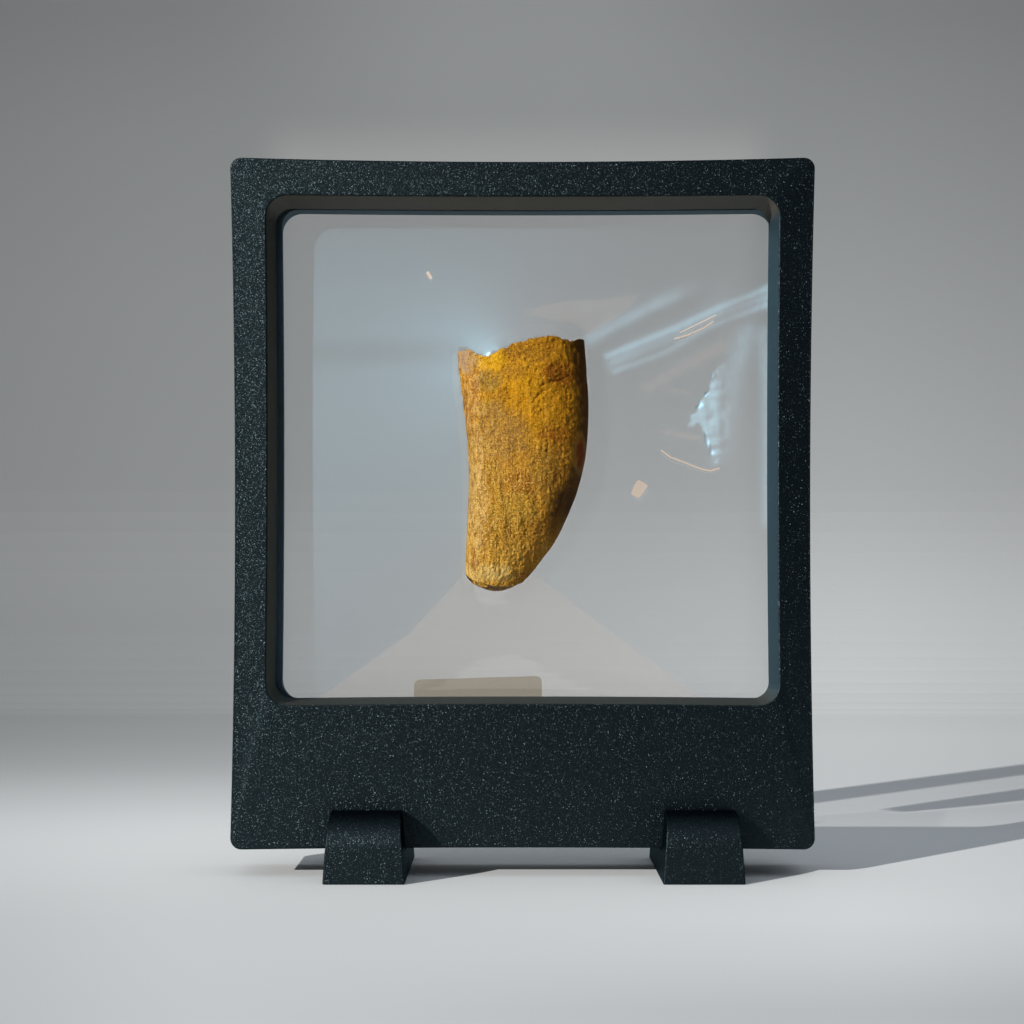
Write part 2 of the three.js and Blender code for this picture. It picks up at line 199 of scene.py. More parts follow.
def finishPiece(bm, name, nodes, material, smoothAngle=None, flatten=False):
    # from a bmesh in millimetres to a piece that stands for CAD nodes
    bmesh.ops.transform(bm, matrix=Matrix.Scale(mm, 4), verts=bm.verts)
    mesh = bpy.data.meshes.new(name)
    for face in bm.faces:
        face.smooth = True
    bm.to_mesh(mesh)
    bm.free()
    if smoothAngle:
        mesh.set_sharp_from_angle(angle=math.radians(smoothAngle))
    mesh.materials.append(material)
    piece = bpy.data.objects.new(name, mesh)
    scene.collection.objects.link(piece)
    if flatten:
        piece.modifiers.new("flat faces stay flat", "WEIGHTED_NORMAL").weight = 100
    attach(piece, "root")
    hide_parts(*nodes)
    print(name, len(mesh.polygons), "faces")
    return piece


def smoothStep(values, low, high):
    share = np.clip((values - low) / (high - low), 0, 1)
    return share * share * (3 - 2 * share)


def softNoise(x, y, z):
    # smooth noise from 0 to 1 over space, always the same, equal to the noise of the solid
    cell = [np.floor(v) for v in (x, y, z)]
    part = [smoothStep(v - c, 0, 1) for v, c in zip((x, y, z), cell)]

    def corner(i, j, k):
        s = np.sin((cell[0] + i) * 127.1 + (cell[1] + j) * 311.7 + (cell[2] + k) * 74.7) * 43758.5
        return s - np.floor(s)

    def alongX(j, k):
        return corner(0, j, k) * (1 - part[0]) + corner(1, j, k) * part[0]

    low = alongX(0, 0) * (1 - part[1]) + alongX(1, 0) * part[1]
    high = alongX(0, 1) * (1 - part[1]) + alongX(1, 1) * part[1]
    return low * (1 - part[2]) + high * part[2]


def scatter(x, y, z):
    # distance to the nearest of many scattered points, one in each cell, and that point's own number
    nearest = np.full(x.shape, 9.0)
    number = np.zeros(x.shape)
    for i in (-1, 0, 1):
        for j in (-1, 0, 1):
            for k in (-1, 0, 1):
                cell = [np.floor(v) + d for v, d in ((x, i), (y, j), (z, k))]
                seeds = []
                for n in range(4):
                    s = np.sin(cell[0] * 12.99 + cell[1] * 78.23 + cell[2] * 37.72 + n * 4.1) * 43758.5
                    seeds.append(s - np.floor(s))
                away = np.sqrt(sum((v - c - s) ** 2 for v, c, s in zip((x, y, z), cell, seeds)))
                closer = away < nearest
                nearest = np.where(closer, away, nearest)
                number = np.where(closer, seeds[3], number)
    return nearest, number


# The tooth, in the same measures as its solid: height above the tip, left, right, half thickness
toothForm = {
    "tip": 62.9, "rootTop": 58.3, "around": 336, "along": 266, "capRings": 10,
    "rows": np.array([
        [0, -10.9, -2.2, 2.9], [2.2, -12.2, -0.4, 3.5], [4.4, -12.85, 1.85, 4.0], [10.9, -12.75, 6.85, 5.3],
        [15.4, -12.55, 9.35, 5.9], [21.4, -12.25, 11.95, 6.6], [25.4, -12.1, 13.2, 6.9], [30.4, -12.25, 14.35, 7.2],
        [37.4, -12.8, 15.05, 7.4], [44.4, -13.65, 15.1, 7.5], [51.4, -14.4, 14.6, 7.4], [57.4, -14.65, 14.1, 7.1],
    ]),
    "rootEnd": np.array([
        [0, 55.4], [0.07, 55.2], [0.15, 53.7], [0.22, 53.6], [0.29, 54.2], [0.37, 54.9], [0.46, 56.1],
        [0.55, 56.6], [0.65, 57.5], [0.71, 57.8], [0.8, 57.6], [0.88, 57.2], [0.94, 57.5], [1, 57.7],
    ]),
    "crumbs": (0.6, 0.055), "fineCrumbs": (0.5, 0.016), "tipSlant": 0.24, "tipCurve": (1.1, 5.7, 0.6, -0.6),
    "tipHollow": 0.25, "rootHollow": 1.6, "peak": (0.34, 0.5), "rise": (0.32, 0.38), "roll": (0.9, 0.8),
    "backFlatness": 0.86, "lump": (0.2, 4.2), "pit": (0.3, 2.6), "ridge": (0.1, 3.3),
    "denticle": 0.13, "denticles": (5, 50),
}


def between(rows, places, column):
    # a smooth curve through one column of a list of rows
    x, y = rows[:, 0], rows[:, column]
    slopes = np.empty(len(x))
    for i in range(len(x)):
        a, b = max(i - 1, 0), min(i + 1, len(x) - 1)
        slopes[i] = (y[b] - y[a]) / (x[b] - x[a])
    held = np.clip(places, x[0], x[-1])
    i = np.clip(np.searchsorted(x, held) - 1, 0, len(x) - 2)
    span = x[i + 1] - x[i]
    s = (held - x[i]) / span
    start = (2 * s ** 3 - 3 * s ** 2 + 1) * y[i] + (s ** 3 - 2 * s ** 2 + s) * span * slopes[i]
    return start + (3 * s ** 2 - 2 * s ** 3) * y[i + 1] + (s ** 3 - s ** 2) * span * slopes[i + 1]


def halfThickness(u, h, side):
    # a lens, thickest left of its middle near the tip and at its middle further up, rolling over to the right edge
    f = toothForm
    share = np.clip(u, 0, 1)
    up = smoothStep(h, 6, 34)
    peak, rise, roll = (low + (high - low) * up for low, high in (f["peak"], f["rise"], f["roll"]))
    left = np.clip((peak - share) / peak, 0, 1)
    right = np.clip((share - peak) / (1 - peak), 0, 1)
    lens = (1 - left ** 2) ** rise * (1 - right ** 2) ** roll
    return between(f["rows"], h, 3) * lens * np.where(side < 0, 1, f["backFlatness"])


def toothPlaces(u, t, side):
    # places on the tooth's plain form: share u across and share t down from the root
    f = toothForm
    base, rise, lowestAt, fade = f["tipCurve"]
    slant = side * halfThickness(u, 0 * u, side) * f["tipSlant"]
    tip = base - slant + rise * (u - lowestAt) ** 2 * (1 - fade * u) + 1.3 * np.clip(1 - u / 0.12, 0, 1) ** 2
    bend = side * np.sqrt(u * (1 - u)) * 4
    root = between(f["rootEnd"], u, 1)
    for height, size in (f["crumbs"], f["fineCrumbs"]):
        root = root + (softNoise(u / size, bend, 5 + 0 * u) - 0.5) * height
    h = root + (tip - root) * t
    left, right = between(f["rows"], h, 1), between(f["rows"], h, 2)
    places = np.stack([left + (right - left) * u, side * halfThickness(u, h, side), f["tip"] + h], 1)
    return places, h


def mainRelief(places, u, h):
    # the lumps, pits and ridges that the solid has too
    f = toothForm
    up = np.clip(h / f["rootTop"], 0, 1)
    x, y, z = places.T
    height, size = f["lump"]
    lumps = softNoise(x / size, y / size, z / size) - 0.5
    depth, pitSize = f["pit"]
    pits = np.maximum(0, softNoise(x / pitSize + 31, y / pitSize, z / (1.6 * pitSize)) - 0.6)
    ridgeHeight, pitch = f["ridge"]
    ridges = np.sin(2 * np.pi * (x + 0.12 * h) / pitch) * (1 - up)
    relief = 2 * height * (0.4 + 0.6 * up) * lumps - 2.5 * depth * pits + ridgeHeight * ridges
    across = np.sin(np.pi * np.clip(u, 0, 1))
    places[:, 1] += np.sign(y) * relief * np.sqrt(across)
    places[:, 0] += (u - 0.5) * 0.5 * relief
    return places


# Cracks as lines of places (x, z) seen from the front, with a width and a depth
cracks = [
    {"line": [(4.0, 109.6), (6.4, 110.4), (8.6, 110.9), (11.2, 112.6)], "width": 0.18, "depth": 0.22},
    {"line": [(2.6, 106.4), (4.4, 108.4), (6.2, 109.2)], "width": 0.16, "depth": 0.2},
    {"line": [(9.6, 86.0), (8.7, 83.4), (7.7, 80.6)], "width": 0.18, "depth": 0.22},
    {"line": [(5.6, 96.8), (5.4, 93.6)], "width": 0.15, "depth": 0.18},
]


def lineDistance(x, z, points):
    best = np.full(x.shape, 99.0)
    for (ax, az), (bx, bz) in zip(points, points[1:]):
        dx, dz = bx - ax, bz - az
        share = np.clip(((x - ax) * dx + (z - az) * dz) / (dx * dx + dz * dz), 0, 1)
        best = np.minimum(best, np.hypot(x - ax - share * dx, z - az - share * dz))
    return best


# Fine relief: heights and sizes in millimetres
fineForm = {
    "streak": (0.05, 0.5, 5.0), "grain": (0.15, 0.42, 0.5), "dust": (0.12, 0.26), "granule": (0.28, 0.8),
    "plate": (0.2, 2.8), "enamelStep": 0.05, "enamelGrain": 0.18,
}


def fineRelief(places, u, h, side):
    # streaks along the tooth, sandy grain, crust granules and plates, bare enamel and cracks
    f = fineForm
    x, y, z = places.T
    wide = 27 * u
    height, pitch, length = f["streak"]
    streak = softNoise(wide / pitch, side * 7 + 0 * u, h / length) - 0.5
    streak = streak + 0.7 * (softNoise(wide / (2.3 * pitch), side * 3 + 9 + 0 * u, h / (2 * length)) - 0.5)
    relief = height * 2 * streak * (1.15 - 0.75 * smoothStep(h, 14, 40)) * (1.5 - 1.2 * u)
    grainHeight, grainWide, grainLong = f["grain"]
    grain = softNoise(x / grainWide, y / grainWide, z / grainLong) - 0.5
    dustHeight, dustSize = f["dust"]
    dust = softNoise(x / dustSize, y / dustSize, z / dustSize) - 0.5
    border = 0.9 - 0.1 * smoothStep(-h, -36, -14) + 0.05 * (softNoise(h / 1.7, 2 * side, 8 + 0 * h) - 0.5)
    border = border + 0.08 * (softNoise(x / 0.7, y / 0.7, z / 0.9) - 0.5)
    enamel = smoothStep(u, border - 0.06, border + 0.06) * smoothStep(h, 9, 20)
    upper = smoothStep(h, 30, 50)
    nearBorder = np.exp(-((u - border + 0.06) / 0.07) ** 2)
    away, number = scatter(x / f["granule"][1], y / f["granule"][1], z / f["granule"][1])
    chosen = (number < 0.14 + 0.34 * nearBorder + 0.22 * upper).astype(float)
    granules = np.maximum(0, 1 - (away / 0.48) ** 2) * chosen * (1 - enamel)
    plateHeight, plateSize = f["plate"]
    plates = softNoise(x / plateSize + 4, y / plateSize, z / (1.4 * plateSize))
    plates = plates + 0.25 * (softNoise(x / 0.9, y / 0.9, z / 0.9) - 0.5)
    crust = smoothStep(plates, 0.5, 0.56) * (0.35 + 0.65 * upper)
    rough = (1 - enamel) + f["enamelGrain"] * enamel
    relief = relief * rough + (grainHeight * 2 * grain + dustHeight * 2 * dust) * rough
    relief = relief + f["granule"][0] * granules + plateHeight * crust * (1 - enamel)
    relief = relief - f["enamelStep"] * enamel
    crack = np.zeros_like(u)
    for c in cracks:
        wander = 0.5 * (softNoise(x / 0.8, z / 0.8, 3 + 0 * x) - 0.5)
        away = lineDistance(x + wander, z + wander, c["line"])
        inside = np.exp(-(away / c["width"]) ** 2) * (side < 0)
        relief = relief - c["depth"] * inside
        crack = np.maximum(crack, inside)
    return relief, enamel, crust, np.clip(granules, 0, 1), crack


# The long chip down the left edge below the root, a flat facet: a place on it, its facing and its reach
chip = {"place": (-14.5, -1.3, 116.6), "facing": (-0.80, -0.60, 0.10), "reach": (110.6, 119.5), "uneven": (0.7, 1.3)}


def cutChip(places):
    facing = np.array(chip["facing"]) / np.linalg.norm(chip["facing"])
    out = (places - np.array(chip["place"])) @ facing
    height, size = chip["uneven"]
    x, y, z = places.T
    out = out + height * (softNoise(x / size, y / size, z / size) - 0.5) + 0.2 * (softNoise(x / 0.4, y / 0.4, z / 0.4) - 0.5)
    low, high = chip["reach"]
    near = smoothStep(places[:, 2], low, low + 1.5) * (places[:, 0] < -9)
    lowered = np.where(out > 0, out, 0) * near
    cut = np.clip(lowered * 8, 0, 1) * near
    return places - lowered[:, None] * facing, cut


def buildTooth(material):
    f = toothForm
    bm = bmesh.new()
    bmesh.ops.create_cone(bm, cap_ends=False, segments=f["around"], radius1=1, radius2=1, depth=2)
    upright = [e for e in bm.edges if abs(e.verts[0].co.z - e.verts[1].co.z) > 1]
    bmesh.ops.subdivide_edges(bm, edges=upright, cuts=f["along"] - 1, use_grid_fill=True)
    bm.verts.ensure_lookup_table()
    unit = np.array([v.co for v in bm.verts])
    u = np.clip((1 + unit[:, 0]) / 2, 0, 1)
    side = np.where(unit[:, 1] <= 0, -1.0, 1.0)
    t = (1 - unit[:, 2]) / 2
    places, h = toothPlaces(u, t, side)
    places = mainRelief(places, u, h)
    setPlaces(bm, places)
    normals = np.array([v.normal for v in bm.verts])
    flip = np.sign(np.sum(normals * (places - places.mean(0)) * (0.2, 1, 0), 1).mean())
    relief, enamel, crust, granules, crack = fineRelief(places, u, h, side)
    edge = np.sqrt(np.sin(np.pi * np.clip(u, 0.0005, 0.9995)))
    places = places + normals * flip * (relief * (0.25 + 0.75 * edge))[:, None]
    places, cut = cutChip(places)
    ring = np.rint(t * f["along"]).astype(int)
    low, high = f["denticles"]
    atEdge = np.maximum(smoothStep(u, 0.993, 1), 0.7 * smoothStep(-u, -0.004, 0))
    toothed = atEdge * (h > low) * (h < high) * (ring % 2)
    places[:, 0] -= np.where(u > 0.5, 1, -1) * toothed * f["denticle"]
    setPlaces(bm, places)
    names = ("enamel", "crust", "granule", "crack", "chip", "across")
    columns = np.stack([enamel, crust, granules, crack, cut, u], 1)
    layers = [bm.verts.layers.float.new(name) for name in names]
    for vert, row in zip(bm.verts, columns):
        for layer, value in zip(layers, row):
            vert[layer] = value
    broken = bm.verts.layers.float.new("broken")
    for top, hollow in ((True, -f["rootHollow"]), (False, f["tipHollow"])):
        closeEnd(bm, top, hollow, broken)
    bmesh.ops.recalc_face_normals(bm, faces=bm.faces)
    return finishPiece(bm, "fossil_tooth", ["tooth"], material)


def setPlaces(bm, places):
    for vert, place in zip(bm.verts, places):
        vert.co = place
    bm.normal_update()


def closeEnd(bm, top, hollow, broken):
    # a broken end: rings drawn in to the middle, hollowed and rough, with a small fan at the centre
    f = toothForm
    open = [e for e in bm.edges if e.is_boundary]
    middleHeight = sum(e.verts[0].co.z for e in open) / len(open)
    rim = [e for e in open if (e.verts[0].co.z > middleHeight) == top]
    start = {v for e in rim for v in e.verts}
    middle = sum((v.co for v in start), Vector()) / len(start)
    if top:
        middle.z = min(v.co.z for v in start)
    grown = rim
    rings = f["capRings"]
    for step in range(1, rings + 1):
        made = bmesh.ops.extrude_edge_only(bm, edges=grown)["geom"]
        verts = [g for g in made if isinstance(g, bmesh.types.BMVert)]
        grown = [g for g in made if isinstance(g, bmesh.types.BMEdge) and g.verts[0] in verts and g.verts[1] in verts]
        share = 1 - step / (rings + 1)
        before = 1 - (step - 1) / (rings + 1)
        for v in verts:
            v.co.x = middle.x + (v.co.x - middle.x) * share / before
            v.co.y = middle.y + (v.co.y - middle.y) * share / before
            v[broken] = 1
        x, y, z = np.array([v.co for v in verts]).T
        rough = softNoise(x / 2.6, y / 2.6, 7 + 0 * x) - 0.5 + 0.5 * (softNoise(x / 0.7, y / 0.7, 3 + 0 * x) - 0.5)
        target = middle.z + hollow * (1 - share) ** 0.7 + 0.7 * hollow * np.abs(rough)
        keep = share ** 3
        for v, height in zip(verts, target):
            v.co.z = v.co.z * keep + height * (1 - keep)
    bmesh.ops.holes_fill(bm, edges=grown, sides=0)
    cap = [face for face in bm.faces if len(face.verts) > 4]
    for vert in bmesh.ops.poke(bm, faces=cap)["verts"]:
        vert[broken] = 1


def fossilMaterial():
    g = Graph("fossil_crust")
    ochre, amber, brown = linear(196, 134, 36), linear(192, 126, 4), linear(118, 68, 10)
    cream, mauve, rust = linear(228, 184, 88), linear(158, 118, 66), linear(150, 78, 6)
    rose, dark = linear(190, 132, 84), linear(60, 34, 4)
    height = g.axis("Z")
    ragged = (g.noise((0.55, 0.55, 0.4), 3) - 0.5) * 0.9
    fine = g.noise((2.7, 2.7, 2.2), 3, 0.75)
    dust = g.noise((3.9, 3.9, 3.4), 2, 0.7)
    streaks = g.noise((2.3, 2.3, 0.34), 3, 0.6)
    streaky = 1 - 0.7 * height.step(78, 98)
    patches = g.noise((0.21, 0.21, 0.13), 3, 0.55)
    blotches = g.noise((0.62, 0.62, 0.4), 3, 0.6)
    body = g.mix(patches.step(0.42, 0.58), ochre, linear(158, 108, 24))
    body = g.mix(height.step(98, 108) * 0.8 * patches.step(0.34, 0.5), body, amber)
    body = g.mix(blotches.step(0.5, 0.66) * 0.5, body, linear(130, 90, 20))
    body = g.mix((1 - blotches.step(0.34, 0.48)) * 0.5, body, linear(204, 148, 24))
    body = g.mix(g.attribute("crust") * 0.6, body, linear(224, 158, 14))
    body = g.mix((1 - height.step(69, 78)) * 0.6, body, linear(228, 172, 66))
    striae = g.noise((3.0, 0.4, 0.1), 2, 0.55)
    lined = 1 - 0.7 * height.step(103, 112)
    for centre, size, colour, share in (
        ((-7.5, 115.2), (4.2, 2.8), linear(240, 178, 22), 0.9),
        ((3.5, 107.0), (7.5, 8.0), linear(220, 152, 6), 0.65),
        ((-8.0, 110.5), (3.4, 2.6), linear(132, 112, 62), 0.75),
        ((-1.5, 112.5), (2.6, 2.0), linear(146, 96, 22), 0.6),
        ((-7.5, 104.0), (3.6, 3.0), linear(150, 128, 78), 0.45),
        ((-2.0, 82.0), (5.0, 3.6), linear(196, 152, 48), 0.5),
        ((-5.0, 98.5), (6.6, 6.0), mauve, 0.75),
        ((-11.5, 108), (2.0, 8.0), rose, 0.65),
        ((-12.2, 116), (2.4, 3.4), linear(176, 144, 112), 0.85),
        ((8.6, 112.4), (4.6, 2.8), linear(138, 62, 4), 0.9),
        ((7.4, 98.6), (4.6, 2.0), rust, 0.8),
        ((-0.6, 88.2), (3.0, 2.8), rust, 0.6),
        ((-10.4, 86), (2.2, 17), linear(210, 172, 108), 0.58),
        ((-7.6, 67.6), (6.2, 2.1), linear(240, 206, 126), 0.75),
        ((-10.6, 70.0), (1.2, 2.2), linear(116, 48, 30), 0.6),
        ((1.6, 66.8), (3.0, 1.8), linear(150, 98, 62), 0.65),
        ((4.9, 73.6), (1.0, 1.0), cream, 0.6),
        ((-1.0, 117.2), (4.2, 2.2), linear(138, 88, 24), 0.6),
    ):
        body = g.mix(g.spot(centre, size, ragged) * share, body, colour)
    body = g.mix(streaks.step(0.52, 0.68) * 0.32 * streaky, body, cream)
    body = g.mix((1 - streaks.step(0.34, 0.48)) * 0.36 * streaky, body, brown)
    body = g.mix(striae.step(0.52, 0.64) * 0.34 * lined, body, linear(222, 170, 66))
    body = g.mix((1 - striae.step(0.36, 0.48)) * 0.42 * lined, body, brown)
    body = g.mix(fine.step(0.54, 0.66) * 0.6, body, g.mix(height.step(90, 104), cream, linear(226, 170, 46)))
    body = g.mix((1 - fine.step(0.34, 0.46)) * 0.65, body, brown)
    body = g.mix((1 - fine.step(0.26, 0.38)) * 0.7, body, dark)
    grit = g.mix(height.step(88, 100), linear(246, 214, 118), linear(244, 192, 52))
    leftward = 1 - g.attribute("across").step(0.05, 0.4)
    body = g.mix(dust.step(0.55, 0.66) * (0.75 + 0.25 * leftward), body, grit)
    body = g.mix((1 - dust.step(0.32, 0.44)) * (0.75 + 0.2 * leftward), body, dark)
    # painted shade: the colour darkens towards the right, where the tooth turns away from the key light
    body = g.mix(g.attribute("across").step(0.58, 0.84) * 0.42, body, linear(138, 76, 0))
    # granules are lighter yellow: partly their own colour, partly painted highlight where they catch the light near
    # the shaded edge
    body = g.mix(g.attribute("granule") * 0.6, body, linear(228, 166, 36))
    motes = g.noise((1.2, 1.2, 0.5), 2, 0.6)
    body = g.mix(motes.step(0.52, 0.62) * 0.42 * leftward, body, linear(226, 190, 118))
    body = g.mix((1 - motes.step(0.38, 0.48)) * 0.45 * leftward, body, brown)
    enamel = g.attribute("enamel")
    # the bare enamel strip at the right edge: its own dark glaze, darkened further as painted shade where the tooth
    # turns from the key light; the oval spot in it is its own colour
    glazeAndShade = g.mix(g.noise((0.5, 0.5, 0.12), 2).step(0.35, 0.65), linear(74, 42, 2), linear(52, 30, 2))
    glazeAndShade = g.mix(g.spot((13.0, 94.7), (1.45, 4.9), ragged * 0.2), glazeAndShade, linear(150, 128, 62))
    glazeAndShade = g.mix(g.spot((13.1, 94.7), (1.2, 4.5), ragged * 0.15), glazeAndShade, linear(112, 42, 8))
    body = g.mix(enamel * 0.9, body, glazeAndShade)
    body = g.mix(g.attribute("crack") * 0.7, body, dark)
    body = g.mix(g.attribute("chip") * 0.5, body, linear(192, 162, 134))
    # broken ends in a fresh break colour; low at the tip facet, which faces down away from the key light, the colour
    # is darker, painted shade
    breakAndTipShade = g.mix(height.step(70, 90), linear(136, 108, 70), linear(156, 110, 40))
    breakAndTipShade = g.mix(fine.step(0.5, 0.7) * 0.5, breakAndTipShade, cream)
    body = g.mix(g.attribute("broken"), body, breakAndTipShade)
    grain = g.noise((3.9, 3.9, 3.2), 3, 0.7)
    relief = g.bump((grain + 0.55 * striae * lined) * (1 - 0.75 * enamel), 1.0, 0.26)
    roughness = 0.72 - 0.3 * enamel - 0.12 * fine
    inputs = {"Base Color": body, "Roughness": roughness, "Normal": relief, "Specular IOR Level": 0.12}
    return g.finish(g.add("ShaderNodeBsdfPrincipled", None, inputs))


# The frame's two halves, in the measures of their solids
frameForm = {
    "left": -65, "right": 65, "bottom": 6.1, "top": 159.9, "corner": 2.6, "bow": (1.1, 1.0, 0.5),
    "depth": 10, "seam": 0.01, "seamEdge": 0.3, "edge": 0.5, "seat": 0.5, "cornerSteps": 10, "sideSteps": 28,
}
mouthForm = {
    "left": -56.95, "right": 56.95, "bottom": 38.2, "top": 151.4, "corner": 4.8, "bow": (0.4, 0.4, 0.4),
    "draft": 1, "edge": 0.4, "lip": 0.12, "backShift": 1.2,
}
filmForm = {
    "border": 3, "play": 0.3, "flat": 1.7, "rest": 0.28, "thickness": 0.1, "cells": 216, "gap": 0.12,
    "relaxSteps": 800, "overRelax": 1.945,
}


def roundedLoop(bm, form, y, inset=0.0, shift=0.0):
    # a closed loop round a rectangle with round corners and bowed sides, standing across Y
    left, right = form["left"] + inset + shift, form["right"] - inset + shift
    bottom, top = form["bottom"] + inset, form["top"] - inset
    verts = bmesh.ops.create_grid(bm, x_segments=1, y_segments=1, size=0.5)["verts"]
    for v in verts:
        v.co = (right if v.co.x > 0 else left, y, top if v.co.y > 0 else bottom)
    bmesh.ops.bevel(bm, geom=verts, offset=form["corner"] - inset, offset_type="OFFSET", affect="VERTICES",
                    segments=frameForm["cornerSteps"], profile=0.5, material=-1)
    sides = [e for face in bm.faces for e in face.edges if e.calc_length() > 20]
    bmesh.ops.subdivide_edges(bm, edges=sides, cuts=frameForm["sideSteps"] - 1)
    face = next(iter(bm.faces))
    loop = list(face.edges)
    sideBow, topBow, bottomBow = form["bow"]
    for v in face.verts:
        across = (2 * v.co.x - left - right) / (right - left)
        up = (2 * v.co.z - bottom - top) / (top - bottom)
        v.co.x -= across * sideBow * (1 - up * up)
        v.co.z -= up * (topBow if up > 0 else bottomBow) * (1 - across * across)
    bmesh.ops.delete(bm, geom=[face], context="FACES_ONLY")
    return loop


def buildFrameHalf(side, name, node, material):
    # side is -1 for the front half and 1 for the back half
    f, m, p = frameForm, mouthForm, filmForm
    bm = bmesh.new()
    shift = m["backShift"] if side > 0 else 0
    seatForm = {
        "left": m["left"] + m["draft"] - p["border"] - p["play"], "right": m["right"] - m["draft"] + p["border"] + p["play"],
        "bottom": m["bottom"] + m["draft"] - p["border"] - p["play"], "top": m["top"] - m["draft"] + p["border"] + p["play"],
        "corner": 1.0, "bow": (0, 0, 0),
    }
    # loops from the outer rim over the front, down the opening, round the film's seat and out along the seam
    plan = [(f, 0, 0, f["depth"]), (m, 0, shift, f["depth"]), (m, m["draft"], shift, f["seat"]),
            (seatForm, 0, 0, f["seat"]), (seatForm, 0, 0, f["seam"]), (f, 0, 0, f["seam"])]
    loops = [roundedLoop(bm, form, 5 * order, inset, moved) for order, (form, inset, moved, y) in enumerate(plan)]
    for first, second in zip(loops, loops[1:] + loops[:1]):
        bmesh.ops.bridge_loops(bm, edges=first + second)
    for loop, (form, inset, moved, y) in zip(loops, plan):
        for v in {v for e in loop for v in e.verts}:
            v.co.y = side * y
    for loop, width in ((loops[0], f["edge"]), (loops[1], m["edge"]), (loops[2], m["lip"]), (loops[5], f["seamEdge"])):
        rim = [e for e in loop if e.is_valid]
        bmesh.ops.bevel(bm, geom=rim, offset=width, offset_type="OFFSET", affect="EDGES", segments=4,
                        profile=0.5, material=-1, clamp_overlap=True)
    bmesh.ops.recalc_face_normals(bm, faces=bm.faces)
    return finishPiece(bm, name, [node], material, flatten=True)


footForm = {
    "centres": {"left_foot": -34.5, "right_foot": 39.3}, "width": 17.9, "depth": 40, "height": 15,
    "shoulder": 7.4, "armTop": 0.9, "taper": 1.1, "edge": 0.35, "slot": 10.25, "slotFloor": 6.1, "shoulderSteps": 16,
}


def buildFoot(node, centre, material):
    # the outline seen from the side, its shoulders rounded, drawn out across the foot and narrowed upwards
    f = footForm
    half, slot, high = f["depth"] / 2, f["slot"], f["height"]
    along = (half - slot - f["armTop"]) / (half - slot)
    turn = high - f["shoulder"] / along
    right = [(0, 0), (half, 0), (half, turn), (half, high), (slot, high), (slot, f["slotFloor"])]
    outline = right[1:] + [(-y, z) for y, z in reversed(right[1:])]
    bm = bmesh.new()
    verts = [bm.verts.new((-f["width"] / 2, y, z)) for y, z in outline]
    bmesh.ops.edgenet_fill(bm, edges=[bm.edges.new(pair) for pair in zip(verts, verts[1:] + verts[:1])])
    tops = [v for v in verts if abs(abs(v.co.y) - half) < 0.01 and v.co.z > high - 0.01]
    bmesh.ops.bevel(bm, geom=tops, offset=along * 100, offset_type="PERCENT", affect="VERTICES",
                    segments=f["shoulderSteps"], profile=0.5, material=-1)
    moved = bmesh.ops.extrude_face_region(bm, geom=list(bm.faces))["geom"]
    bmesh.ops.translate(bm, vec=(f["width"], 0, 0), verts=[g for g in moved if isinstance(g, bmesh.types.BMVert)])
    bmesh.ops.recalc_face_normals(bm, faces=bm.faces)
    sharp = [e for e in bm.edges if e.calc_face_angle(0) > math.radians(30)]
    bmesh.ops.bevel(bm, geom=sharp, offset=f["edge"], offset_type="OFFSET", affect="EDGES", segments=3,
                    profile=0.5, material=-1, clamp_overlap=True)
    for v in bm.verts:
        v.co.x = centre + v.co.x * (1 - 2 * f["taper"] / f["width"] * v.co.z / high)
    return finishPiece(bm, node + "_block", [node], material, flatten=True)


labelForm = {
    "left": -25.2, "right": 4.6, "bottom": 31, "leftTop": 42.9, "rightTop": 43.8, "corner": 1.5,
    "thickness": 0.22, "back": 10.25,
}


def buildLabel(material):
    f = labelForm
    bm = bmesh.new()
    verts = bmesh.ops.create_grid(bm, x_segments=1, y_segments=1, size=0.5)["verts"]
    for v in verts:
        top = f["rightTop"] if v.co.x > 0 else f["leftTop"]
        v.co = (f["right"] if v.co.x > 0 else f["left"], f["back"], top if v.co.y > 0 else f["bottom"])
    bmesh.ops.bevel(bm, geom=verts, offset=f["corner"], offset_type="OFFSET", affect="VERTICES",
                    segments=8, profile=0.5, material=-1)
    moved = bmesh.ops.extrude_face_region(bm, geom=list(bm.faces))["geom"]
    bmesh.ops.translate(bm, vec=(0, -f["thickness"], 0), verts=[g for g in moved if isinstance(g, bmesh.types.BMVert)])
    bmesh.ops.recalc_face_normals(bm, faces=bm.faces)
    return finishPiece(bm, "paper_label_tab", ["label"], material, 40)


# Soft folds in the front film: from and to (x, z), half width, height, and the crumpled patch at the right
folds = [
    {"from": (15.4, 120.6), "to": (40.4, 131.6), "width": 2.6, "height": 0.42},
    {"from": (20.5, 115.6), "to": (55.8, 132.2), "width": 3.0, "height": 0.5},
    {"from": (27, 107), "to": (44, 118), "width": 3.6, "height": 0.22},
    {"from": (32, 92.4), "to": (41.6, 90.2), "width": 0.7, "height": 0.12},
    {"from": (12, 124.5), "to": (28, 130), "width": 3.2, "height": 0.22},
]
crumple = {"from": (42.2, 114.0), "to": (44.6, 94.0), "width": 3.4, "height": 0.6, "size": (3.4, 2.2)}


